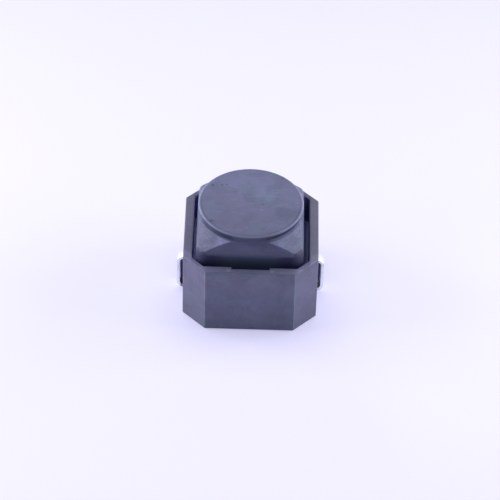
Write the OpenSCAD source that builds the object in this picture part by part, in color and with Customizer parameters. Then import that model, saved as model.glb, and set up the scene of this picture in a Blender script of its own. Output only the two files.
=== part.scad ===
// Tactile push button switch: octagonal housing, guided square cap, snap dome and two J leads.
// Sizes are in millimetres. The origin lies on the board's surface under the middle of the housing.
// +X runs from the left lead to the right lead, -Y is the front and +Z points up to the cap.

/* [Housing] */
// Width and depth of the housing across its flats
body_w = 10; // [9.8:0.05:12]
// Height of the housing's rim above the board
rim_z = 5.8; // [5.5:0.02:7]
// Leg of the 45 degree chamfer on each upright corner of the housing
corner_leg = 1.7; // [1.2:0.01:2]
// Thickness of the wall round the window
wall = 0.68; // [0.65:0.01:0.8]
// Thickness of the wall behind each chamfered corner
corner_wall = 0.39; // [0.3:0.01:0.5]
// Thickness of the wall round the socket that takes the base
socket_wall = 0.5; // [0.4:0.01:0.6]
// Bevel on the outer edge of the rim and of the foot
rim_bevel = 0.05; // [0.02:0.01:0.15]
// Bevel on the window's edge
window_bevel = 0.04; // [0.02:0.01:0.1]

/* [Cap] */
// Gap between the cap and the window on each side
cap_gap = 0.35; // [0.3:0.01:0.5]
// Height of the cap's top above the rim at rest
cap_rise = 2.5; // [2.2:0.05:3.5]
// Radius of the cap's upright corners
cap_corner_r = 0.75; // [0.6:0.05:1.2]
// Radius of the upright corners inside the cap
cap_inner_r = 0.3; // [0.2:0.05:0.4]
// Height of the upright part of the cap's sides above the rim
upright_h = 0.65; // [0.4:0.05:0.8]
// How far the cap's sides lean in from there to the foot of the disc
side_lean = 0.32; // [0.2:0.01:0.4]
// Distance from the cap's side to the edge of its round top disc
disc_inset = 0.065; // [0.05:0.005:0.3]
// Height of the upright step under the disc's edge
disc_h = 0.6; // [0.4:0.05:0.7]
// Rounding of the disc's edge
disc_round = 0.08; // [0.04:0.01:0.15]
// Slope of the shoulder below level, in degrees
shoulder_slope = 37; // [30:1:40]
// Thickness of the cap's wall and roof
cap_wall = 0.6; // [0.5:0.01:0.65]
// Gap between the cap's inside and the plunger that it is pressed on
cap_fit = 0.02; // [0.01:0.01:0.05]

/* [Plunger and latch] */
// How far the cap travels when it is pressed
travel = 0.35; // [0.2:0.01:0.4]
// Thickness of the flange that the cap sits on
flange_t = 0.6; // [0.4:0.05:0.7]
// Width of each latch leg
leg_w = 2.6; // [2:0.05:3.2]
// Thickness of each latch leg where it hangs below the flange
leg_t = 0.55; // [0.4:0.01:0.7]
// Height of each latch hook
hook_h = 0.68; // [0.5:0.01:0.8]
// Height of the leg above its hook, up to the cap's lower edge
leg_rise = 0.4; // [0.3:0.01:0.5]
// Depth of the guide groove in the window's wall
groove_d = 0.24; // [0.2:0.01:0.3]
// How far the latch pocket is cut deeper than the groove
catch_d = 0.18; // [0.12:0.01:0.22]
// Gap at each side of a leg in its groove
guide_clearance = 0.1; // [0.04:0.01:0.15]
// Gap between a leg's face and the bottom of its groove
face_clearance = 0.05; // [0.02:0.01:0.1]
// Share of the side gap by which the cap leans to the left at rest
lean_share = 0.9; // [0:0.1:0.9]
// Gap left at the upper and the lower stop
stop_gap = 0.03; // [0.01:0.01:0.05]
// Thickness of the plunger's roof above the spring
plunger_roof = 0.6; // [0.4:0.05:0.8]
// Radius of the post that presses the dome
post_r = 0.8; // [0.6:0.05:1.2]
// Height of the tapered tip of the post
post_tip_h = 0.25; // [0.1:0.05:0.4]

/* [Dome and film] */
// Height of the dome above the contacts
dome_h = 0.5; // [0.45:0.01:0.6]
// Thickness of the dome's sheet
dome_t = 0.07; // [0.05:0.01:0.1]
// Radius of each hollow side between two legs
dome_notch_r = 1.9; // [1.5:0.05:2.2]
// How deep each hollow side reaches into the dome
dome_notch_d = 0.6; // [0.3:0.05:0.8]
// Gap round the dome in its well
dome_clearance = 0.05; // [0.02:0.01:0.1]
// Depth of the dome's well below the film
well_depth = 0.15; // [0.1:0.01:0.2]
// Thickness of the film
film_t = 0.05; // [0.03:0.01:0.08]
// Gap between the dome and the film over it, and between the film and the post
film_gap = 0.015; // [0.01:0.005:0.03]
// Width of the film outside the spring
film_margin = 0.2; // [0.1:0.05:0.25]

/* [Return spring] */
// Thickness of the spring's wire
wire_d = 0.25; // [0.18:0.01:0.28]
// Number of turns, the closed end turns included
spring_turns = 6; // [5:1:8]
// Distance from the dome's well to the spring
spring_land = 0.15; // [0.1:0.01:0.2]
// Gap between the spring and the plunger's bore
spring_clearance = 0.15; // [0.12:0.01:0.2]
// Thickness of the plunger's wall round the spring
cup_wall = 0.3; // [0.25:0.01:0.4]
// Gap between the closed end turn and the next one
turn_gap = 0.02; // [0.01:0.01:0.05]

/* [Base] */
// Height of the housing's and the base's underside above the board
standoff = 0.1; // [0.05:0.01:0.2]
// Height of the contacts above the board
contact_z = 3.1; // [2.6:0.01:3.2]
// Height of the base's frame above the film's seat
frame_h = 0.3; // [0.2:0.01:0.4]
// Gap round the base in its socket
base_fit = 0.02; // [0.01:0.01:0.05]
// Thickness of the plastic under the terminals
floor_t = 0.6; // [0.4:0.05:0.8]
// Thickness of the base's outer wall round the hollows in its underside
core_wall = 0.9; // [0.7:0.05:1.1]
// Half width of the rib under the terminals
rib_half = 1.2; // [1:0.05:1.5]
// Radius of each stand-off pad
pad_r = 0.35; // [0.25:0.01:0.4]

/* [Terminals] */
// Thickness of the terminal strip
lead_t = 0.25; // [0.15:0.01:0.3]
// Width of each lead
lead_w = 0.85; // [0.7:0.05:1.4]
// How far each lead stands out from the housing's side
lead_reach = 0.55; // [0.45:0.01:0.7]
// Inside radius of the bend at the top of each lead
bend_r = 0.22; // [0.1:0.01:0.25]
// Inside radius of the curl at the foot of each lead
foot_r = 0.37; // [0.3:0.01:0.45]
// Height of the straight tip after the curl
tip_h = 0.23; // [0.1:0.01:0.4]
// Gap round each lead in the housing's notch and in the base's pocket
lead_clearance = 0.1; // [0.05:0.01:0.15]
// Gap between a lead and the plastic core that it is bent round
core_gap = 0.03; // [0.02:0.01:0.08]
// How far that core stands back from the lead's edges
core_setback = 0.1; // [0.05:0.01:0.2]
// Width of the strip that reaches the centre contact
finger_w = 0.6; // [0.4:0.05:0.7]
// Width of the ring contact under the dome's legs
ring_w = 1; // [0.8:0.05:1.1]
// How far the ring contact reaches into the plastic outside the dome's well
ring_bury = 0.2; // [0.1:0.05:0.3]
// Gap between the two terminals
terminal_gap = 0.4; // [0.25:0.01:0.45]
// Radius of the raised point on the centre contact
point_r = 0.4; // [0.3:0.05:0.5]
// Height of the raised point on the centre contact
point_h = 0.08; // [0.04:0.01:0.1]

/* [Hidden] */

$fn = 64;
// Facets of a full turn on the cap's upright corners
corner_facets = 32;
// Extra depth by which a cut runs past a face
over = 0.5;
// Thickness of the end plates that a sloping block is stretched between
thin = 0.001;
// Depth by which the disc reaches into the shoulder under it
disc_sink = 0.03;

// Housing, seen from above: half widths across the flats and distances to the corner faces
body_half = body_w / 2;
body_corner = (body_w - corner_leg) / sqrt(2);
inner_corner = body_corner - corner_wall;
window_half = body_half - wall;
socket_half = body_half - socket_wall;

// Heights of the base, from the contacts up
seat_z = contact_z + well_depth;
ledge_z = seat_z + frame_h;

// Heights of the latch, from the base's frame up
hook_low_z = ledge_z + travel + stop_gap;
hook_top_z = hook_low_z + hook_h;
latch_z = hook_top_z + stop_gap;
cap_low_z = hook_top_z + leg_rise;
groove_w = leg_w + 2 * guide_clearance;
lean = -lean_share * guide_clearance;

// Cap
cap_half = window_half - cap_gap;
cap_top_z = rim_z + cap_rise;
upright_z = rim_z + upright_h;
disc_r = cap_half - disc_inset;
step_z = cap_top_z - disc_h;
side_slope = side_lean / (step_z - upright_z);

// Spring, from the plunger's wall inwards
spring_bore_r = cap_half - side_lean - cap_wall - cap_fit - cup_wall;
spring_r = spring_bore_r - spring_clearance - wire_d / 2;
film_r = spring_r + wire_d / 2 + film_margin;
spring_low_z = seat_z + film_t;
spring_top_z = cap_top_z - cap_wall - cap_fit - plunger_roof;
spring_sides = 8;
steps_per_turn = 16;

// Dome and film, both parts of spheres about one centre
well_r = spring_r - wire_d / 2 - spring_land;
dome_r = well_r - dome_clearance;
dome_top_z = contact_z + dome_h;
dome_ball_r = (dome_r * dome_r + dome_h * dome_h) / (2 * dome_h);
ball_z = dome_top_z - dome_ball_r;
film_ball_r = dome_ball_r + film_gap;
post_z = dome_top_z + 2 * film_gap + film_t;

// Leads
strip_z = contact_z - lead_t;
lead_x = body_half + lead_reach;
foot_x = lead_x - lead_t - foot_r;
foot_z = foot_r + lead_t;
top_bend_x = lead_x - lead_t - bend_r;
notch_w = lead_w + 2 * lead_clearance;
pocket_x = foot_x - foot_z - lead_clearance;
pocket_z = foot_z + tip_h + lead_clearance;
core_end_x = lead_x - lead_t - core_gap;
ring_r = well_r + ring_bury;
ring_join_x = ring_r - ring_w / 2;
centre_r = ring_r - ring_w - terminal_gap;
finger_end_x = ring_r + terminal_gap;
finger_slot_w = finger_w + 2 * terminal_gap;

// Octagon from half its width across the flats and the distance to its corner faces
module octagon(half, corner) {
    intersection() {
        square(2 * half, center = true);
        rotate(45)
            square(2 * corner, center = true);
    }
}

// Upright octagonal block
module octagon_block(half, corner, low_z, high_z) {
    translate([0, 0, low_z])
        linear_extrude(high_z - low_z)
            octagon(half, corner);
}

// Octagonal block with a bevel round both ends
module bevelled_block(half, corner, low_z, high_z, bevel) {
    hull() {
        octagon_block(half, corner, low_z + bevel, high_z - bevel);
        octagon_block(half - bevel, corner - bevel, low_z, high_z);
    }
}

// Block whose sides slope outwards at 45 degrees and have the octagon's size at the given height
module flared_block(half, corner, z, flare) {
    hull()
        for (step = [-flare, flare])
            octagon_block(half + step, corner + step, z + step, z + step + thin);
}

// Square with rounded corners
module rounded_square(half, corner_r, facets = $fn) {
    straight = half - corner_r;
    square([2 * half, 2 * straight], center = true);
    square([2 * straight, 2 * half], center = true);
    for (x = [-straight, straight], y = [-straight, straight])
        translate([x, y])
            circle(corner_r, $fn = facets);
}

// Block with the cap's rounded square plan: upright sides that lean in above upright_z
module cap_column(inset, corner_r, low_z) {
    half = cap_half - inset;
    hull() {
        translate([0, 0, low_z])
            linear_extrude(upright_z - low_z)
                rounded_square(half, corner_r, corner_facets);
        translate([0, 0, cap_top_z])
            linear_extrude(thin)
                rounded_square(half - side_slope * (cap_top_z - upright_z), corner_r, corner_facets);
    }
}

// Turned solid with a level top and a sloping shoulder, drawn in by inset
module shoulder(inset, low_z, flat_z) {
    slope = tan(shoulder_slope);
    foot_r = disc_r - inset;
    foot_z = step_z - inset;
    far_r = 2 * cap_half;
    far_z = foot_z - (far_r - foot_r) * slope;
    bottom_z = min(low_z, far_z) - over;
    rotate_extrude()
        polygon([[0, bottom_z], [far_r, bottom_z], [far_r, far_z], [foot_r - (flat_z - foot_z) / slope, flat_z],
            [0, flat_z]]);
}

// Form of the cap without its disc, drawn in by inset
module cap_form(inset, corner_r, low_z, flat_z) {
    intersection() {
        cap_column(inset, corner_r, low_z);
        shoulder(inset, low_z, flat_z);
    }
}

// Round disc on top of the cap, with a rounded edge
module disc() {
    round_r = disc_r - disc_round;
    round_z = cap_top_z - disc_round;
    arc = [for (a = [0 : 15 : 90]) [round_r + disc_round * cos(a), round_z + disc_round * sin(a)]];
    rotate_extrude()
        polygon(concat([[0, step_z - disc_sink], [disc_r, step_z - disc_sink]], arc, [[0, cap_top_z]]));
}

// Section of a latch leg with its hook, as distance from the middle and height
function leg_section() =
    let (
        face_y = window_half + groove_d - face_clearance,
        hook_y = face_y + catch_d,
        inner_y = cap_half - leg_t
    )
    [[inner_y, cap_low_z], [inner_y, hook_low_z], [face_y - catch_d, hook_low_z], [hook_y, hook_top_z - catch_d],
        [hook_y, hook_top_z], [face_y, hook_top_z], [face_y, cap_low_z]];

// Quarter of a bend in the terminal strip, turned by an angle about its centre
module strip_bend(inside_r, turn) {
    rotate(turn)
        intersection() {
            difference() {
                circle(inside_r + lead_t);
                circle(inside_r);
            }
            square(inside_r + lead_t + over);
        }
}

// Side view of the right lead, from where it leaves its contact plate to its curled tip
module lead_outline(start_x) {
    translate([start_x, strip_z])
        square([top_bend_x - start_x, lead_t]);
    translate([top_bend_x, strip_z - bend_r])
        strip_bend(bend_r, 0);
    translate([lead_x - lead_t, foot_z])
        square([lead_t, strip_z - bend_r - foot_z]);
    translate([foot_x, foot_z]) {
        strip_bend(foot_r, -90);
        strip_bend(foot_r, 180);
        translate([-foot_z, 0])
            square([lead_t, tip_h]);
    }
}

// The right lead
module lead(start_x) {
    rotate([90, 0, 0])
        linear_extrude(lead_w, center = true)
            lead_outline(start_x);
}

// Bar with bevelled upper ends that runs through the base, and that both leads are bent round
module lead_core() {
    rotate([90, 0, 0])
        linear_extrude(lead_w - 2 * core_setback, center = true)
            polygon([[-core_end_x, pocket_z], [core_end_x, pocket_z], [core_end_x, strip_z - bend_r],
                [core_end_x - bend_r, strip_z - core_gap], [bend_r - core_end_x, strip_z - core_gap],
                [-core_end_x, strip_z - bend_r]]);
}

// Channel in the base that the flat part of a lead lies in
module lead_channel(start_x) {
    translate([start_x, -lead_w / 2, strip_z])
        cube([body_half, lead_w, lead_t]);
}

// Flat contact plates of the two terminals, level with the floor of the dome's well
module centre_plate() {
    translate([0, 0, strip_z])
        linear_extrude(lead_t) {
            circle(centre_r);
            translate([-finger_end_x, -finger_w / 2])
                square([finger_end_x, finger_w]);
        }
}

module ring_plate() {
    translate([0, 0, strip_z])
        linear_extrude(lead_t)
            difference() {
                circle(ring_r);
                circle(ring_r - ring_w);
                translate([-ring_r - over, -finger_slot_w / 2])
                    square([ring_r + over, finger_slot_w]);
            }
}

module housing() {
    color("#585977")
        difference() {
            bevelled_block(body_half, body_corner, standoff, rim_z, rim_bevel);
            octagon_block(window_half, inner_corner, ledge_z - over, rim_z + over);
            octagon_block(socket_half, inner_corner, standoff - over, ledge_z);
            // Bevel on the window's edge
            flared_block(window_half, inner_corner, rim_z - window_bevel, over);
            for (side = [0, 180])
                rotate(side) {
                    // Guide groove, open at the rim
                    translate([-groove_w / 2, 0, ledge_z])
                        cube([groove_w, window_half + groove_d, rim_z - ledge_z + over]);
                    // Latch pocket, open towards the base
                    translate([-groove_w / 2, 0, ledge_z - over])
                        cube([groove_w, window_half + groove_d + catch_d, latch_z - ledge_z + over]);
                    // Notch that the lead comes out of
                    translate([0, -notch_w / 2, standoff - over])
                        cube([body_half + over, notch_w, contact_z + lead_clearance - standoff + over]);
                }
        }
}

module cap() {
    color("#717596")
        translate([lean, 0, 0])
            difference() {
                union() {
                    cap_form(0, cap_corner_r, cap_low_z, step_z + disc_h / 2);
                    disc();
                }
                cap_form(cap_wall, cap_inner_r, cap_low_z - over, cap_top_z - cap_wall);
            }
}

module plunger() {
    color("#d9d9d2")
        translate([lean, 0, 0]) {
            difference() {
                union() {
                    cap_form(cap_wall + cap_fit, cap_inner_r, cap_low_z, cap_top_z - cap_wall - cap_fit);
                    translate([0, 0, cap_low_z - flange_t])
                        linear_extrude(flange_t)
                            rounded_square(cap_half, cap_corner_r);
                    for (side = [0, 180])
                        rotate([90, 0, 90 + side])
                            linear_extrude(leg_w, center = true)
                                polygon(leg_section());
                }
                // Bore that the spring stands in
                cylinder(h = spring_top_z, r = spring_bore_r);
            }
            // Post with a tapered tip that presses the dome
            translate([0, 0, post_z])
                cylinder(h = post_tip_h, r1 = post_r - post_tip_h, r2 = post_r);
            translate([0, 0, post_z + post_tip_h])
                cylinder(h = spring_top_z - post_z - post_tip_h, r = post_r);
        }
}

// Height of the wire's middle above its first point after so many turns: closed turns at both ends
function coil_rise(turn) =
    let (
        closed = wire_d + turn_gap,
        length = spring_top_z - spring_low_z - wire_d,
        last = spring_turns - turn
    )
    turn < 1 ? closed * turn * turn
        : last < 1 ? length - closed * last * last
        : closed + (length - 2 * closed) * (turn - 1) / (spring_turns - 2);

module return_spring() {
    count = spring_turns * steps_per_turn;
    points = [
        for (i = [0 : count], k = [0 : spring_sides - 1])
            let (
                turn = i / steps_per_turn,
                around = 360 * turn,
                across = 360 * (k + 0.5) / spring_sides,
                r = spring_r + wire_d / 2 * cos(across)
            )
            [r * cos(around), r * sin(around), spring_low_z + wire_d / 2 + coil_rise(turn) + wire_d / 2 * sin(across)]
    ];
    sides = [
        for (i = [0 : count - 1], k = [0 : spring_sides - 1])
            let (
                a = i * spring_sides + k,
                b = i * spring_sides + (k + 1) % spring_sides
            )
            each [[a, b, b + spring_sides], [a, b + spring_sides, a + spring_sides]]
    ];
    first_end = [[for (k = [spring_sides - 1 : -1 : 0]) k]];
    last_end = [[for (k = [0 : spring_sides - 1]) count * spring_sides + k]];
    color("#c4c7cc")
        polyhedron(points, concat(sides, first_end, last_end));
}

module snap_dome() {
    color("#cfd1d6")
        difference() {
            intersection() {
                translate([0, 0, ball_z])
                    sphere(dome_ball_r);
                translate([0, 0, contact_z])
                    linear_extrude(dome_h + over)
                        difference() {
                            circle(dome_r + over);
                            for (a = [0 : 90 : 270])
                                rotate(a)
                                    translate([dome_r - dome_notch_d + dome_notch_r, 0])
                                        circle(dome_notch_r);
                        }
            }
            translate([0, 0, ball_z])
                sphere(dome_ball_r - dome_t);
        }
}

module dome_film() {
    color("#c98a2b")
        difference() {
            union() {
                translate([0, 0, seat_z])
                    cylinder(h = film_t, r = film_r);
                intersection() {
                    translate([0, 0, ball_z])
                        sphere(film_ball_r + film_t);
                    translate([0, 0, seat_z])
                        cylinder(h = dome_h, r = film_r);
                }
            }
            translate([0, 0, ball_z])
                sphere(film_ball_r);
        }
}

module base() {
    half = socket_half - base_fit;
    corner = inner_corner - base_fit;
    lug_w = notch_w - 2 * base_fit;
    pad_place = (corner - core_wall / 2) / sqrt(2);
    core_x = half - core_wall;
    color("#3b3c48")
        difference() {
            union() {
                octagon_block(half, corner, standoff, ledge_z);
                // Lugs that close the housing's notches under the leads
                translate([-body_half, -lug_w / 2, pocket_z])
                    cube([body_w, lug_w, strip_z - pocket_z]);
                lead_core();
                for (x = [-pad_place, pad_place], y = [-pad_place, pad_place])
                    translate([x, y, 0])
                        cylinder(h = standoff + over, r = pad_r);
            }
            // Seat of the film and the spring, and the dome's well inside it
            translate([0, 0, seat_z])
                cylinder(h = frame_h + over, r = film_r + base_fit);
            translate([0, 0, contact_z])
                cylinder(h = well_depth + over, r = well_r);
            centre_plate();
            ring_plate();
            lead_channel(ring_join_x);
            rotate(180)
                lead_channel(finger_end_x);
            for (side = [0, 180])
                rotate(side) {
                    // Pocket for the lead's curl
                    translate([pocket_x, -notch_w / 2, -over])
                        cube([body_half, notch_w, pocket_z + over]);
                    // Hollow in the underside
                    translate([-core_x, rib_half, -over])
                        intersection() {
                            cube([2 * core_x, core_x - rib_half, strip_z - floor_t + over]);
                            translate([core_x, -rib_half, 0])
                                octagon_block(core_x, corner - core_wall, 0, strip_z);
                        }
                }
        }
}

module left_terminal() {
    color("#dfe3e6") {
        centre_plate();
        rotate(180)
            lead(finger_end_x);
        // Raised point that the dome meets
        translate([0, 0, contact_z])
            cylinder(h = point_h, r1 = point_r, r2 = point_r - point_h);
    }
}

module right_terminal() {
    color("#dfe3e6") {
        ring_plate();
        lead(ring_join_x);
    }
}

housing();
cap();
plunger();
return_spring();
snap_dome();
dome_film();
base();
left_terminal();
right_terminal();
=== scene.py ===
import math
import bmesh
import bpy
from mathutils import Matrix, Vector


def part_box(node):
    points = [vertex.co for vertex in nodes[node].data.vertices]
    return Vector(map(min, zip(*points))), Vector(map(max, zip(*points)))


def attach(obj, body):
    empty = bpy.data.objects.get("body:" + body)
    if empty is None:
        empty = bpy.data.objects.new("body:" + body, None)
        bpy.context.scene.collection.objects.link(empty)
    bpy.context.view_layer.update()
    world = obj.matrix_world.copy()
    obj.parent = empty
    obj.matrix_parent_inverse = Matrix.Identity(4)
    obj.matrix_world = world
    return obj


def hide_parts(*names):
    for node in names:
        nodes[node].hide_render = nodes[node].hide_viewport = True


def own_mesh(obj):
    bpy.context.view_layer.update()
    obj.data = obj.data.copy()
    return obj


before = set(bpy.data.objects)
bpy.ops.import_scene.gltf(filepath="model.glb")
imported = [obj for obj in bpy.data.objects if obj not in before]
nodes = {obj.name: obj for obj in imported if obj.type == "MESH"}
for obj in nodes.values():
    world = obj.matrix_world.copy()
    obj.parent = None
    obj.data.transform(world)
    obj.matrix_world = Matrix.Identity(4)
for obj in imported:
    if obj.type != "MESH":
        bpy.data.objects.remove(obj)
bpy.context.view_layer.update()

mm = 0.001


def inMm(*lengths):  # lengths that are given in millimetres, as metres
    return tuple(length * mm for length in lengths)


def rgba(red, green, blue):
    return (red, green, blue, 1)


def shade(colour, factor):
    return rgba(*(min(1, c * factor) for c in colour[:3]))


print("camera")
camera = {
    "elevation": 42.1,       # degrees above the horizon
    "turn": 0.0,             # degrees round the object
    "roll": 1.65,            # degrees the picture is turned clockwise
    "distance": 200 * mm,
    "framePixels": 500,
    "pixelsPerMetre": 13.29 / mm,
    "aimHeight": 3 * mm,
    "slideRight": 0.06 * mm,
    "slideUp": -0.447 * mm,
    "sensor": 36.0,
    "nearest": 1 * mm,
    "farthest": 10,
}


def makeCamera():
    lift, turn, roll = (math.radians(camera[k]) for k in ("elevation", "turn", "roll"))
    back = Vector((
        math.sin(turn) * math.cos(lift),
        -math.cos(turn) * math.cos(lift),
        math.sin(lift),
    ))
    level = Vector((math.cos(turn), math.sin(turn), 0))
    upright = back.cross(level)
    right = math.cos(roll) * level + math.sin(roll) * upright
    up = back.cross(right)
    scale = camera["pixelsPerMetre"] * camera["distance"] / camera["framePixels"]
    data = bpy.data.cameras.new("camera")
    data.sensor_width = camera["sensor"]
    data.lens = scale * camera["sensor"]
    data.clip_start = camera["nearest"]
    data.clip_end = camera["farthest"]
    place = Vector((0, 0, camera["aimHeight"])) + camera["distance"] * back
    place -= camera["slideRight"] * right + camera["slideUp"] * up
    obj = bpy.data.objects.new("camera", data)
    axes = Matrix((right, up, back)).transposed().to_4x4()
    obj.matrix_world = Matrix.Translation(place) @ axes
    bpy.context.scene.collection.objects.link(obj)
    bpy.context.scene.camera = obj


makeCamera()


class Wire:  # a socket that can be used in sums
    def __init__(self, graph, socket):
        self.graph = graph
        self.socket = socket

    def work(self, operation, *values):
        values = dict(enumerate(values))
        return self.graph.add("ShaderNodeMath", {"operation": operation}, values)["Value"]

    def __add__(self, other):
        return self.work("ADD", self, other)

    def __sub__(self, other):
        return self.work("SUBTRACT", self, other)

    def __rsub__(self, other):
        return self.work("SUBTRACT", other, self)

    def __mul__(self, other):
        return self.work("MULTIPLY", self, other)

    def __truediv__(self, other):
        return self.work("DIVIDE", self, other)

    def __abs__(self):
        return self.work("ABSOLUTE", self)

    __radd__ = __add__

    def root(self):
        return self.work("SQRT", self)

    def cosine(self):
        return self.work("COSINE", self)

    def sine(self):
        return self.work("SINE", self)

    def least(self, other):
        return self.work("MINIMUM", self, other)

    def most(self, other):
        return self.work("MAXIMUM", self, other)

    def fade(self, start, end):  # 0 at start, 1 at end, smooth between
        settings = {"interpolation_type": "SMOOTHSTEP"}
        values = {"Value": self, "From Min": start, "From Max": end}
        return self.graph.add("ShaderNodeMapRange", settings, values)["Result"]

    def near(self, place, width):  # 1 at place, 0 further off than width
        return abs(self - place).fade(width, 0)


class Outputs:  # a node's outputs by name
    def __init__(self, graph, node):
        self.graph = graph
        self.node = node

    def __getitem__(self, name):
        return Wire(self.graph, self.node.outputs[name])


class Graph:  # a node tree that nodes are added to
    def __init__(self, tree):
        self.tree = tree

    def add(self, kind, settings, inputs):
        node = self.tree.nodes.new(kind)
        for name, value in settings.items():
            setattr(node, name, value)
        for name, value in inputs.items():
            if isinstance(value, Wire):
                self.tree.links.new(value.socket, node.inputs[name])
            else:
                node.inputs[name].default_value = value
        return Outputs(self, node)


class Finish(Graph):  # one material and its nodes
    def __init__(self, name):
        self.material = bpy.data.materials.new(name)
        self.material.use_nodes = True
        super().__init__(self.material.node_tree)
        self.tree.nodes.clear()
        self.place = self.add("ShaderNodeTexCoord", {}, {})["Object"]
        parts = self.add("ShaderNodeSeparateXYZ", {}, {"Vector": self.place})
        self.x, self.y, self.z = parts["X"], parts["Y"], parts["Z"]

    def noise(
        self,
        size,                    # of a blotch, in metres
        detail,
        rough=0.5,
        twist=0.0,
        stretch=(1, 1, 1),
        shift=(0, 0, 0),
        band=None,               # the noise's own values between which it fades in
    ):
        values = {"Vector": self.place, "Scale": stretch, "Location": shift}
        place = self.add("ShaderNodeMapping", {}, values)["Vector"]
        values = {"Vector": place, "Scale": 1 / size}
        values.update({"Detail": detail, "Roughness": rough, "Distortion": twist})
        pattern = self.add("ShaderNodeTexNoise", {}, values)["Fac"]
        return pattern.fade(*band) if band else pattern

    def mix(self, share, first, second, **settings):
        values = {0: share, 6: first, 7: second}      # the colour sockets by number
        made = self.add("ShaderNodeMix", {"data_type": "RGBA", **settings}, values)
        return Wire(self, made.node.outputs[2])

    def scaled(self, share, tone, factor):  # the tone times one factor, or three, where share is 1
        factors = factor if isinstance(factor, tuple) else (factor, factor, factor)
        return self.mix(share, tone, rgba(*factors), blend_type="MULTIPLY")

    def bump(self, height, depth, under=None):  # depth is the height's real size in metres
        values = {"Height": height, "Distance": depth, "Strength": 1.0}
        if under:
            values["Normal"] = under
        return self.add("ShaderNodeBump", {}, values)["Normal"]

    def finish(self, **values):
        values = {name.replace("_", " "): value for name, value in values.items()}
        shader = self.add("ShaderNodeBsdfPrincipled", {}, values)
        self.add("ShaderNodeOutputMaterial", {}, {"Surface": shader["BSDF"]})
        return self.material


meshing = {
    "join": 0.0005 * mm,     # corners this close become one
    "flatten": 0.5,          # degrees between faces that become one
    "weld": 0.001 * mm,
    "normalWeight": 60,
}


def dress(obj, material):
    obj.data.materials.clear()
    obj.data.materials.append(material)


def addPiece(name, mesh):
    obj = bpy.data.objects.new(name, mesh)
    bpy.context.scene.collection.objects.link(obj)
    return obj


def bake(obj):  # the object with its modifiers as a plain mesh
    shaped = obj.evaluated_get(bpy.context.evaluated_depsgraph_get())
    mesh = bpy.data.meshes.new_from_object(shaped)
    obj.modifiers.clear()
    obj.data = mesh
    return obj


def copied(node, flatten=0.0):  # a copy of a node's mesh with its loose triangles joined
    mesh = nodes[node].data.copy()
    work = bmesh.new()
    work.from_mesh(mesh)
    bmesh.ops.remove_doubles(work, verts=work.verts, dist=meshing["join"])
    if flatten:
        limit = math.radians(flatten)
        bmesh.ops.dissolve_limit(work, angle_limit=limit, verts=work.verts, edges=work.edges)
    work.to_mesh(mesh)
    work.free()
    mesh.shade_smooth()
    return addPiece("shaped_" + node, mesh)


def softened(node, edge):  # a copy of a moulded or bent node with its sharp edges rounded a little
    obj = copied(node, meshing["flatten"])
    bevel = obj.modifiers.new("edge", "BEVEL")
    bevel.width = edge["radius"]
    bevel.segments = edge["steps"]
    bevel.limit_method = "ANGLE"
    bevel.angle_limit = math.radians(edge["angle"])
    weld = obj.modifiers.new("weld", "WELD")      # closes the slivers on narrow chamfers
    weld.merge_threshold = meshing["weld"]
    normals = obj.modifiers.new("normals", "WEIGHTED_NORMAL")
    normals.keep_sharp = False
    normals.weight = meshing["normalWeight"]
    return bake(obj)


print("moulded plastic")
diagonal = math.sqrt(0.5)      # makes the distance to a corner face from x + y
slate = {
    "clouds": {"size": 1.6 * mm, "detail": 4, "rough": 0.62, "twist": 0.4},
    "cloudBand": (0.3, 0.7),
    "cloudShare": 0.14,        # how much lighter and darker the clouds are
    "cloudRoughness": 0.2,
    "hues": {"size": 2.72 * mm, "detail": 2, "shift": (0.011, 0.005, 0.003)},
    "hueShare": 0.6,
    "violet": {"band": (0.5, 0.68), "tint": (1.08, 0.98, 1.02)},
    "green": {"band": (0.5, 0.34), "tint": (0.93, 1.07, 0.98)},
    "grain": {"size": 0.035 * mm, "detail": 3, "rough": 0.7},
    "grainDepth": 0.0016 * mm,
    "grainRoughness": 0.14,
    "ripple": {"size": 0.5 * mm, "detail": 2},
    "rippleDepth": 0.006 * mm,
    "roughness": 0.5,
    "gloss": 0.2,
}


def mouldedPlastic(f, colour):  # the slate plastic's colour, roughness and surface, without wear
    clouds, hues, grain = (f.noise(**slate[name]) for name in ("clouds", "hues", "grain"))
    dark, light = (shade(colour, 1 + sign * slate["cloudShare"]) for sign in (-1, 1))
    tone = f.mix(clouds.fade(*slate["cloudBand"]), dark, light)
    for hue in (slate["violet"], slate["green"]):
        tinted = rgba(*(c * factor for c, factor in zip(colour, hue["tint"])))
        tone = f.mix(hues.fade(*hue["band"]) * slate["hueShare"], tone, tinted)
    rough = slate["roughness"] + (grain - 0.5) * slate["grainRoughness"]
    rough = rough + (clouds - 0.5) * slate["cloudRoughness"]
    ripple = f.bump(f.noise(**slate["ripple"]), slate["rippleDepth"])
    return tone, rough, f.bump(grain, slate["grainDepth"], ripple)


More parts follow.
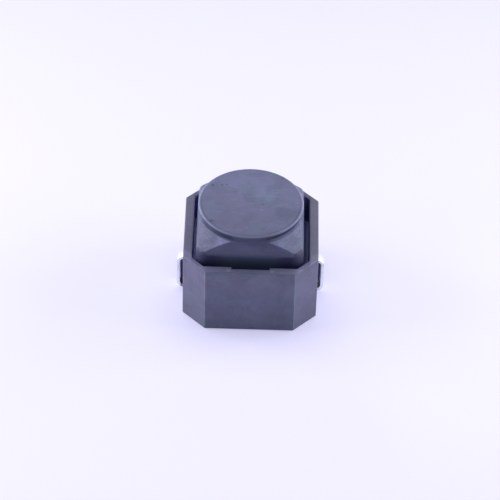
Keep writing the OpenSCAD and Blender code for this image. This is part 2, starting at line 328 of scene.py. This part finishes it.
shell = {
    "colour": rgba(0.162, 0.16, 0.252),
    # rimColour is painted shade on the rim's top face
    "rimColour": rgba(0.136, 0.139, 0.21),
    "rimShare": 0.8,
    # endRimColour is a deeper painted shade on the front and rear rim tops
    "endRimColour": rgba(0.09, 0.094, 0.168),
    "endRimShare": 0.85,
    "liningColour": rgba(0.16, 0.17, 0.42),
    "markColour": rgba(0.17, 0.19, 0.24),
    "markShare": 0.75,
    "polish": 0.12,                         # how much less rough the worn edges are
    "wear": {"size": 0.35 * mm, "detail": 3, "rough": 0.7, "band": (0.3, 0.6)},
    "hairlines": {
        "size": 0.13 * mm,
        "detail": 1,
        "stretch": (0.14, 0.14, 1),
        "shift": (0.003, 0.002, 0.001),
        "band": (0.68, 0.74),
    },
    "at": {                                 # a place and how far it reaches
        "flatEdge": inMm(5.0, 0.13),        # half the housing's width
        "slantEdge": inMm(5.869, 0.13),     # from the middle to a corner face
        "rimEdge": inMm(5.8, 0.13),         # the housing's height
        "underRim": inMm(5.66, 0.14),
        "markX": inMm(1.6, 0.24),
        "markY": inMm(4.72, 0.22),
    },
    "band": {                               # where a change starts and where it is full
        "top": inMm(5.74, 5.79),
        "lower": inMm(3.4, 0.3),
        "upper": inMm(2.6, 4.6),
        "endY": inMm(4.2, 4.3),
        "endX": inMm(3.7, 3.1),
        "endFaceY": inMm(4.88, 4.96),
        "endFaceX": inMm(3.6, 3.2),
        "chamfer": inMm(5.2, 5.4),
        "innerEdge": inMm(4.48, 4.34),
        "front": inMm(1, -1),
        "rear": inMm(-1, 1),
        "right": inMm(4.3, 4.5),
        "window": inMm(4.42, 4.32),
        "windowCorner": inMm(5.669, 5.569),
        "left": inMm(-3.8, -4.2),
    },
    "tint": {
        "lower": 0.86,
        "endFace": (1.02, 1.1, 1.08),
        "upperEndFace": (1.1, 1.08, 1.03),
        "hairlines": 1.15,
        "underRim": (0.86, 0.88, 0.9),
        "wornTop": 0.9,
        "innerEdge": (0.76, 0.77, 0.84),
        "frontChamfers": (1.16, 1.15, 1.24),
        "rearChamfers": (0.84, 0.89, 0.78),
        "rightRim": (1.12, 1.12, 1.05),
        "wornEdge": 1.14,
        "leftLining": 2.3,
    },
}


def housingPlastic():
    f = Finish("housing plastic")
    at, band, tint = shell["at"], shell["band"], shell["tint"]
    tone, rough, normal = mouldedPlastic(f, shell["colour"])
    across, along = abs(f.x), abs(f.y)
    flat = across.most(along)                # distance to the four main sides
    slant = (across + along) * diagonal      # distance to the four corner faces
    nearFlat, nearSlant = flat.near(*at["flatEdge"]), slant.near(*at["slantEdge"])
    wear = f.noise(**shell["wear"])
    top = f.z.fade(*band["top"])
    end = along.fade(*band["endY"]) * across.fade(*band["endX"])
    endFace = along.fade(*band["endFaceY"]) * across.fade(*band["endFaceX"])
    chamfer = slant.fade(*band["chamfer"])
    rimEdge = nearFlat.most(nearSlant) * f.z.near(*at["rimEdge"]) * (1 - end)
    worn = (nearFlat * nearSlant).most(rimEdge) * wear

    # painted shade: the walls darker towards the floor
    tone = f.scaled(f.z.fade(*band["lower"]), tone, tint["lower"])
    # painted light on the front and rear faces, more on their upper parts
    tone = f.scaled(endFace, tone, tint["endFace"])
    tone = f.scaled(endFace * f.z.fade(*band["upper"]), tone, tint["upperEndFace"])
    tone = f.scaled(f.noise(**shell["hairlines"]) * (1 - top), tone, tint["hairlines"])
    tone = f.scaled(end * f.z.near(*at["underRim"]) * wear, tone, tint["underRim"])

    # painted shade on the rim's top, but not over the corner faces
    tone = f.mix(top * (1 - chamfer) * shell["rimShare"], tone, shell["rimColour"])
    tone = f.scaled(top * wear, tone, tint["wornTop"])
    # painted shade on the rim's top along the window's edge
    tone = f.scaled(top * flat.fade(*band["innerEdge"]), tone, tint["innerEdge"])
    # painted light on the rim over the front corner faces, painted shade over the rear ones
    tone = f.scaled(top * chamfer * f.y.fade(*band["front"]), tone, tint["frontChamfers"])
    tone = f.scaled(top * chamfer * f.y.fade(*band["rear"]), tone, tint["rearChamfers"])
    # painted light on the right side's rim
    tone = f.scaled(top * f.x.fade(*band["right"]), tone, tint["rightRim"])
    # painted shade on the front and rear rim tops
    tone = f.mix(top * end * shell["endRimShare"], tone, shell["endRimColour"])
    tone = f.scaled(worn, tone, tint["wornEdge"])
    mark = across.near(*at["markX"]) * along.near(*at["markY"]) * top
    tone = f.mix(mark * shell["markShare"], tone, shell["markColour"])

    # painted light: the window's inner walls lighter and bluer, most at the left
    lining = flat.fade(*band["window"]) * (1 - nearSlant)
    lining = lining * slant.fade(*band["windowCorner"]) * (1 - top)
    tone = f.mix(lining, tone, shell["liningColour"])
    tone = f.scaled(lining * f.x.fade(*band["left"]), tone, tint["leftLining"])
    return f.finish(
        Base_Color=tone,
        Roughness=rough - worn * shell["polish"],
        Normal=normal,
        Specular_IOR_Level=slate["gloss"],
    )


cap = {
    "colour": rgba(0.136, 0.146, 0.254),
    # skirt, corner and tip colours are painted shade low on the cap's sides
    "skirtColour": rgba(0.052, 0.066, 0.115),
    "cornerColour": rgba(0.034, 0.035, 0.088),
    "tipColour": rgba(0.055, 0.056, 0.12),
    "tipMottle": 0.35,
    "discRadius": 3.905 * mm,
    "shoulderSlope": math.tan(math.radians(37)),
    "shadeTilt": 0.03,                      # makes the shade under the disc deeper at one side
    "leftWeaker": 0.56,                     # how much weaker that shade is at the far left
    "rightWeaker": 0.2,
    "scuffShare": 0.35,
    "scratchShare": 0.5,
    "scratchDepth": 0.002 * mm,
    "polish": 0.15,                         # how much less rough the rubbed places are
    "scuffs": {
        "size": 0.5 * mm,
        "detail": 5,
        "rough": 0.75,
        "stretch": (1, 2.2, 1),
        "band": (0.56, 0.7),
    },
    "scratches": {
        "size": 0.12 * mm,
        "detail": 1,
        "stretch": (0.1, 1, 1),
        "shift": (0.002, 0.001, 0),
        "band": (0.62, 0.7),
    },
    "specks": {"size": 0.16 * mm, "detail": 1, "shift": (0.004, 0.007, 0), "band": (0.74, 0.78)},
    "mottle": {
        "size": 0.5 * mm,
        "detail": 4,
        "rough": 0.7,
        "stretch": (1, 1, 2),
        "band": (0.36, 0.66),
    },
    "at": {                                 # a place and how far it reaches
        "groove": inMm(3.68, 0.08),
        "rim": inMm(3.865, 0.13),
        "rimHeight": inMm(8.3, 0.12),       # the cap's height
        "chipHeight": inMm(6.84, 0.3),
        "fold": inMm(6.85, 0.3),            # where the shoulder meets the skirt
    },
    "band": {                               # where a change starts and where it is full
        "top": inMm(8.25, 8.29),
        "discFront": inMm(1.5, -2.5),
        "cone": inMm(7.63, 7.68),
        "shoulder": inMm(7.72, 7.65),
        "pointOuter": inMm(2.9, 2.0),
        "pointInner": inMm(1.0, 1.5),
        "discSide": inMm(3.805, 3.865),
        "belowTop": inMm(8.24, 8.16),
        "aboveFoot": inMm(7.66, 7.72),
        "shade": inMm(7.83, 7.91),
        "shadeEnds": inMm(3.85, 3.3),
        "deepShade": inMm(0.6, 1.9),
        "leftWeaker": inMm(-1.6, -3.0),
        "rightWeaker": inMm(2.4, 3.3),
        "groove": inMm(1.6, -1.0),
        "rimSides": inMm(1.2, 3.2),
        "rimEnds": inMm(3.1, 3.7),
        "rearShoulder": inMm(1.5, 3.0),
        "chips": inMm(4.85, 5.05),
        "skirt": inMm(6.84, 6.24),
        "corner": inMm(3.9, 4.75),
        "cornerHeight": inMm(6.6, 6.42),
        "tip": inMm(4.98, 5.14),
        "tipHeight": inMm(7.05, 6.8),
    },
    "tint": {
        "top": 0.95,
        "discFront": 0.83,
        "rubbed": 1.3,
        "specks": 0.6,
        "shoulder": (1.03, 0.98, 0.96),
        "mottle": 1.32,
        "points": 1.55,
        "discSide": 0.84,
        "shade": 0.8,
        "deepShade": (0.3, 0.31, 0.38),
        "groove": 0.72,
        "rim": 1.2,
        "rimSides": 1.4,
        "rimEnds": (1.45, 1.45, 1.2),
        "rearShoulder": 0.86,
        "chips": 1.5,
        "fold": (0.94, 0.95, 0.87),
    },
    "marks": (  # x, y and size in mm, and how much lighter or darker the place is
        (-2.97, 1.89, 0.13, 0.45),
        (-2.27, 1.92, 0.11, 0.5),
        (-1.95, 1.97, 0.1, 0.6),
        (2.23, 2.91, 0.14, 0.6),
        (-2.95, -2.13, 0.16, 0.6),
        (0.8, -0.13, 0.14, 0.75),
        (0.69, -0.77, 0.14, 1.2),
        (0.54, 1.2, 0.75, 1.16),
        (1.3, 0.6, 0.6, 1.12),
        (2.31, -1.1, 0.9, 0.84),
    ),
}


def capPlastic():
    f = Finish("cap plastic")
    at, band, tint = cap["at"], cap["band"], cap["tint"]
    tone, rough, normal = mouldedPlastic(f, cap["colour"])
    low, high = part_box("cap")
    sideways = f.x - (low[0] + high[0]) / 2       # the cap hangs a little to one side in its guides
    across, along = abs(sideways), abs(f.y)
    slant = (across + along) * diagonal
    out = (sideways * sideways + f.y * f.y).root()
    scuffs, scratches, specks, mottle = (
        f.noise(**cap[name]) for name in ("scuffs", "scratches", "specks", "mottle")
    )

    top = f.z.fade(*band["top"])
    rubbed = (scuffs * cap["scuffShare"]).most(scratches * cap["scratchShare"]) * top
    # painted shade on the disc's top, deeper towards the front
    tone = f.scaled(top, tone, tint["top"])
    tone = f.scaled(top * f.y.fade(*band["discFront"]), tone, tint["discFront"])
    tone = f.scaled(rubbed, tone, tint["rubbed"])
    tone = f.scaled(specks * top, tone, tint["specks"])
    for x, y, size, factor in cap["marks"]:
        besideX, besideY = f.x - x * mm, f.y - y * mm
        square = besideX * besideX + besideY * besideY
        tone = f.scaled(square.fade((size * mm) ** 2, 0) * top, tone, factor)

    cone = f.z + (out - cap["discRadius"]) * cap["shoulderSlope"]      # the same all over the cone
    shoulder = cone.fade(*band["cone"]) * f.z.fade(*band["shoulder"])
    points = across.fade(*band["pointOuter"]) * across.fade(*band["pointInner"])
    tone = f.scaled(shoulder, tone, tint["shoulder"])
    tone = f.scaled(shoulder * mottle, tone, tint["mottle"])
    # painted light on the shoulder's narrow points over the front and rear sides
    tone = f.scaled(shoulder * points, tone, tint["points"])

    # painted shade on the disc's side wall, deepest towards the left and right
    side = out.fade(*band["discSide"]) * f.z.fade(*band["belowTop"])
    tone = f.scaled(side * f.z.fade(*band["aboveFoot"]), tone, tint["discSide"])
    tilted = f.z - sideways * cap["shadeTilt"]
    shaded = side * tilted.fade(*band["shade"]) * across.fade(*band["shadeEnds"])
    tone = f.scaled(shaded, tone, tint["shade"])
    weaker = sideways.fade(*band["leftWeaker"]) * cap["leftWeaker"]
    weaker = weaker + sideways.fade(*band["rightWeaker"]) * cap["rightWeaker"]
    deep = shaded * across.fade(*band["deepShade"]) * (1 - weaker)
    tone = f.scaled(deep, tone, tint["deepShade"])

    # painted shade: a dark line just inside the disc's edge, at the front
    groove = out.near(*at["groove"]) * top * f.y.fade(*band["groove"])
    tone = f.scaled(groove, tone, tint["groove"])
    # painted highlight on the disc's rounded edge, brightest at the left and right
    rim = out.near(*at["rim"]) * f.z.near(*at["rimHeight"])
    tone = f.scaled(rim, tone, tint["rim"])
    tone = f.scaled(rim * across.fade(*band["rimSides"]), tone, tint["rimSides"])
    tone = f.scaled(rim * across.fade(*band["rimEnds"]), tone, tint["rimEnds"])
    # painted shade on the rear part of the shoulder
    tone = f.scaled(shoulder * f.y.fade(*band["rearShoulder"]), tone, tint["rearShoulder"])

    # painted highlight: light specks along the lower edges of the cap's corners
    chips = slant.fade(*band["chips"]) * mottle * f.z.near(*at["chipHeight"])
    tone = f.scaled(chips, tone, tint["chips"])
    tone = f.scaled(f.z.near(*at["fold"]), tone, tint["fold"])
    # painted shade on the cap's lower sides, deepest at the corners and their tips
    tone = f.mix(f.z.fade(*band["skirt"]), tone, cap["skirtColour"])
    corner = slant.fade(*band["corner"]) * f.z.fade(*band["cornerHeight"])
    tone = f.mix(corner, tone, cap["cornerColour"])
    tip = slant.fade(*band["tip"]) * f.z.fade(*band["tipHeight"])
    tone = f.mix(tip * (1 - mottle * cap["tipMottle"]), tone, cap["tipColour"])
    return f.finish(
        Base_Color=tone,
        Roughness=rough - rubbed * cap["polish"],
        Normal=f.bump(scratches * top, cap["scratchDepth"], normal),
        Specular_IOR_Level=slate["gloss"],
    )


inner = {
    "baseColour": rgba(0.045, 0.05, 0.14),
    "plungerColour": rgba(0.06, 0.068, 0.2),
    # upperColour and sideColour are painted light in the deep gaps round the cap
    "upperColour": rgba(0.1, 0.11, 0.33),       # where it shows through the window
    "sideColour": rgba(0.54, 0.57, 1.0),        # under the gaps beside the cap
    "clouds": {"size": 1.6 * mm, "detail": 3, "band": (0.3, 0.7)},
    "cloudTints": (0.85, 1.2),
    "grainRoughness": 0.2,
    "upper": inMm(3.3, 3.5),
    "left": inMm(-3.7, -4.0),
    "right": inMm(4.1, 4.25),
    "rightShare": 0.36,
}


def innerPlastic(name, colour):
    f = Finish(name)
    grain = f.noise(**slate["grain"])
    dark, light = (shade(colour, factor) for factor in inner["cloudTints"])
    upper = f.z.fade(*inner["upper"])
    right = f.x.fade(*inner["right"]) * inner["rightShare"]
    sides = f.x.fade(*inner["left"]).most(right)
    tone = f.mix(f.noise(**inner["clouds"]), dark, light)
    # painted light: lighter and bluer where the window shows it, brightest under the side gaps
    tone = f.mix(upper, tone, inner["upperColour"])
    return f.finish(
        Base_Color=f.mix(upper * sides, tone, inner["sideColour"]),
        Roughness=slate["roughness"] + (grain - 0.5) * inner["grainRoughness"],
        Normal=f.bump(grain, slate["grainDepth"]),
        Specular_IOR_Level=slate["gloss"],
    )


print("metal")
tin = {
    "colour": rgba(0.92, 0.95, 0.96),
    "roughness": 0.3,
    "stretch": (1, 8, 1),
    "curlX": inMm(5.31, 5.25),     # where the shade inside a lead's curl starts and is full
    "curlZ": inMm(1.3, 1.0),
    "curlTint": 0.3,
    "middle": inMm(-1, 1),
    "rightWeaker": 0.7,
}
steel = {"colour": rgba(0.58, 0.59, 0.61), "roughness": 0.3, "stretch": (1, 1, 6)}
rolled = {
    "lines": {"size": 0.05 * mm, "detail": 3, "rough": 0.6},
    "lineBand": (0.35, 0.65),
    "lineTint": 0.93,
    "lineRoughness": 0.2,
    "lineDepth": 0.0008 * mm,
    "stains": {"size": 0.6 * mm, "detail": 3, "rough": 0.6, "band": (0.5, 0.75)},
    "stainShare": 0.5,
    "stainTint": 0.82,
    "stainRoughness": 0.15,
}


def insideCurl(f):  # the share of shade on the strip inside a lead's curl
    inside = abs(f.x).fade(*tin["curlX"]) * f.z.fade(*tin["curlZ"])
    return inside * (1 - f.x.fade(*tin["middle"]) * tin["rightWeaker"])


def rolledMetal(name, metal, shaded=None):
    f = Finish(name)
    colour = metal["colour"]
    lines = f.noise(**rolled["lines"], stretch=metal["stretch"])
    stains = f.noise(**rolled["stains"])
    tone = f.mix(lines.fade(*rolled["lineBand"]), shade(colour, rolled["lineTint"]), colour)
    if shaded:
        tone = f.scaled(shaded(f), tone, metal["curlTint"])
    tone = f.mix(stains * rolled["stainShare"], tone, shade(colour, rolled["stainTint"]))
    rough = metal["roughness"] + (lines - 0.5) * rolled["lineRoughness"]
    return f.finish(
        Base_Color=tone,
        Metallic=1.0,
        Roughness=rough + stains * rolled["stainRoughness"],
        Normal=f.bump(lines, rolled["lineDepth"]),
    )


print("film")
film = {
    "colour": rgba(0.62, 0.27, 0.035),
    "haze": {"size": 0.8 * mm, "detail": 3},
    "hazeBand": (0.3, 0.7),
    "hazeTints": (0.8, 1.1),
    "hazeRoughness": 0.2,
    "hazeDepth": 0.002 * mm,
    "roughness": 0.2,
}


def filmPlastic():
    f = Finish("dome film")
    haze = f.noise(**film["haze"])
    dark, light = (shade(film["colour"], factor) for factor in film["hazeTints"])
    return f.finish(
        Base_Color=f.mix(haze.fade(*film["hazeBand"]), dark, light),
        Roughness=film["roughness"] + haze * film["hazeRoughness"],
        Normal=f.bump(haze, film["hazeDepth"]),
    )


print("housing and cap")
edges = {
    "housing": {"radius": 0.05 * mm, "steps": 3, "angle": 30},
    "cap": {"radius": 0.04 * mm, "steps": 2, "angle": 25},
    "terminal": {"radius": 0.03 * mm, "steps": 2, "angle": 40},
}


def makeShells():
    for node, body, finish, slot in (
        ("housing", "body", housingPlastic(), "housing_plastic"),
        ("cap", "button", capPlastic(), "cap_plastic"),
        ("left_terminal", "body", rolledMetal("left terminal", tin, insideCurl), "terminal_tin"),
        ("right_terminal", "body", rolledMetal("right terminal", tin, insideCurl), "terminal_tin"),
    ):
        piece = softened(node, edges[node.split("_")[-1]])
        dress(piece, finish)
        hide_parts(node)
        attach(piece, body)


makeShells()
dress(nodes["plunger"], innerPlastic("plunger plastic", inner["plungerColour"]))
dress(nodes["base"], innerPlastic("base plastic", inner["baseColour"]))

print("return spring")
coil = {
    "node": "return_spring",
    "wire": 0.25 * mm,
    "turns": 6,
    "stepsPerTurn": 40,
    "closedPitch": 0.27 * mm,
    "wireSides": 14,
    "travel": 0.35 * mm,
}


def coilTree(names):  # the nodes that wind the coil, and the identifier of each named input
    tree = bpy.data.node_groups.new("coil spring", "GeometryNodeTree")
    face = tree.interface
    identifiers = {}
    for name in names:
        kind = "NodeSocketMaterial" if name == "Material" else "NodeSocketFloat"
        identifiers[name] = face.new_socket(name=name, in_out="INPUT", socket_type=kind).identifier
    face.new_socket(name="Geometry", in_out="OUTPUT", socket_type="NodeSocketGeometry")
    g = Graph(tree)
    given = g.add("NodeGroupInput", {}, {})
    count = coil["turns"] * coil["stepsPerTurn"] + 1
    line = g.add("GeometryNodeMeshLine", {}, {"Count": count})["Mesh"]
    curve = g.add("GeometryNodeMeshToCurve", {}, {"Mesh": line})["Curve"]
    index = g.add("GeometryNodeInputIndex", {}, {})["Index"]
    turn = index / coil["stepsPerTurn"]
    left = given["Turns"] - turn
    closed = given["Closed Pitch"]
    first = turn.least(1)                    # the closed turn at each end
    last = left.least(1)
    middle = (turn.least(given["Turns"] - 1) - 1).most(0)
    openRise = given["Rise"] - closed * 2
    rise = closed * first * first + openRise * middle / (given["Turns"] - 2)
    rise = rise + closed * (1 - last * last)
    angle = turn * (2 * math.pi)
    x = given["Coil Radius"] * angle.cosine()
    y = given["Coil Radius"] * angle.sine()
    z = given["Foot Height"] + rise
    place = g.add("ShaderNodeCombineXYZ", {}, {"X": x, "Y": y, "Z": z})["Vector"]
    values = {"Geometry": curve, "Position": place}
    path = g.add("GeometryNodeSetPosition", {}, values)["Geometry"]
    values = {"Resolution": coil["wireSides"], "Radius": given["Wire Radius"]}
    ring = g.add("GeometryNodeCurvePrimitiveCircle", {}, values)["Curve"]
    values = {"Curve": path, "Profile Curve": ring, "Fill Caps": True}
    tube = g.add("GeometryNodeCurveToMesh", {}, values)["Mesh"]
    whole = g.add("GeometryNodeRealizeInstances", {}, {"Geometry": tube})["Geometry"]
    values = {"Geometry": whole, "Material": given["Material"]}
    dressed = g.add("GeometryNodeSetMaterial", {}, values)["Geometry"]
    g.add("NodeGroupOutput", {}, {"Geometry": dressed})
    return tree, identifiers


def makeCoil():
    low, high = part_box(coil["node"])
    length = high[2] - low[2]
    values = {
        "Coil Radius": (high[0] - low[0]) / 2 - coil["wire"] / 2,
        "Wire Radius": coil["wire"] / 2,
        "Turns": float(coil["turns"]),
        "Rise": length - coil["wire"],
        "Closed Pitch": coil["closedPitch"],
        "Foot Height": low[2] + coil["wire"] / 2,
        "Material": rolledMetal("spring steel", steel),
    }
    tree, identifiers = coilTree(values)
    spring = addPiece("coil_spring", bpy.data.meshes.new("coil spring"))
    modifier = spring.modifiers.new("coil", "NODES")
    modifier.node_group = tree
    for name, value in values.items():
        modifier[identifiers[name]] = value
    bake(spring)
    spring.data.shade_smooth()
    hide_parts(coil["node"])
    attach(spring, "body")
    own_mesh(spring)


makeCoil()

print("dome and film")
sheets = {
    "sharpAngle": 40,
    "snap_dome": 0.38,       # share of its height that it keeps under the pressed plunger
    "dome_film": 0.17,
}


def makeDome():
    for node, finish, slot in (
        ("snap_dome", rolledMetal("dome steel", steel), "dome_steel"),
        ("dome_film", filmPlastic(), "film"),
    ):
        sheet = copied(node)
        sheet.data.set_sharp_from_angle(angle=math.radians(sheets["sharpAngle"]))
        dress(sheet, finish)
        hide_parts(node)
        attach(sheet, "body")
        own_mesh(sheet)


makeDome()

print("floor and light")
studio = {
    "background": rgba(0.921, 0.913, 1.0),
    "skyColour": rgba(0.78, 0.80, 1.0),
    "skyStrength": 0.145,
    "floorColour": rgba(0.78, 0.775, 1.0),
    "floorSize": 1.5,
    "floorRoughness": 0.9,
    "fibres": {"size": 30 * mm, "detail": 3},
    "fibreLift": 1.02,
    "floorGlow": 0.46,       # share of the glow in what is seen of the floor
    "glowStrength": 1.33,
    "glowColour": rgba(0.742, 0.722, 1.0),
    "frontGlowColour": rgba(0.83, 0.8, 1.0),
    # front and right: painted light, the floor's glow lighter there
    "front": inMm(-6, -24),
    "rightX": inMm(4.5, 13),
    "rightY": inMm(11, 1),
    "rightShare": 0.9,
    "lampAim": 4 * mm,
}
lamps = {  # places and sizes in mm
    "top": {"at": (0, 25, 80), "size": (70, 50), "watts": 0.036},
    "left": {"at": (-80, 5, 35), "size": (65, 55), "watts": 0.065},
    "right": {"at": (80, 5, 35), "size": (65, 55), "watts": 0.054},
}


def seenDirectly(g):  # 1 for what the camera sees, and for what shiny surfaces mirror
    path = g.add("ShaderNodeLightPath", {}, {})
    return path["Is Camera Ray"].most(path["Is Glossy Ray"])


def makeFloor():
    half = studio["floorSize"] / 2
    corners = [(-half, -half, 0), (half, -half, 0), (half, half, 0), (-half, half, 0)]
    mesh = bpy.data.meshes.new("floor")
    mesh.from_pydata(corners, [], [(0, 1, 2, 3)])
    floor = addPiece("floor", mesh)
    f = Finish("floor")
    light = shade(studio["floorColour"], studio["fibreLift"])
    tone = f.mix(f.noise(**studio["fibres"]), studio["floorColour"], light)
    values = {"Base Color": tone, "Roughness": studio["floorRoughness"]}
    paper = f.add("ShaderNodeBsdfPrincipled", {}, values)["BSDF"]
    # painted light: the floor's glow lighter towards the front and right
    front = f.y.fade(*studio["front"])
    right = f.x.fade(*studio["rightX"]) * f.y.fade(*studio["rightY"]) * studio["rightShare"]
    tint = f.mix(front.most(right), studio["glowColour"], studio["frontGlowColour"])
    values = {"Color": tint, "Strength": studio["glowStrength"]}
    glow = f.add("ShaderNodeEmission", {}, values)["Emission"]
    values = {0: seenDirectly(f) * studio["floorGlow"], 1: paper, 2: glow}
    both = f.add("ShaderNodeMixShader", {}, values)["Shader"]
    f.add("ShaderNodeOutputMaterial", {}, {"Surface": both})
    dress(floor, f.material)


def makeWorld():
    world = bpy.data.worlds.new("studio")
    bpy.context.scene.world = world
    world.use_nodes = True
    world.node_tree.nodes.clear()
    g = Graph(world.node_tree)
    seen = g.add("ShaderNodeBackground", {}, {"Color": studio["background"]})["Background"]
    values = {"Color": studio["skyColour"], "Strength": studio["skyStrength"]}
    lit = g.add("ShaderNodeBackground", {}, values)["Background"]
    both = g.add("ShaderNodeMixShader", {}, {0: seenDirectly(g), 1: lit, 2: seen})["Shader"]
    g.add("ShaderNodeOutputWorld", {}, {"Surface": both})


def makeLamps():
    for name, lamp in lamps.items():
        data = bpy.data.lights.new(name + " lamp", "AREA")
        data.shape = "RECTANGLE"
        data.size, data.size_y = inMm(*lamp["size"])
        data.energy = lamp["watts"]
        obj = bpy.data.objects.new(name + " lamp", data)
        place = Vector(lamp["at"]) * mm
        away = place - Vector((0, 0, studio["lampAim"]))
        obj.location = place
        obj.rotation_euler = away.to_track_quat("Z", "Y").to_euler()
        bpy.context.scene.collection.objects.link(obj)


makeFloor()
makeWorld()
makeLamps()
bpy.context.scene.view_settings.view_transform = "Standard"
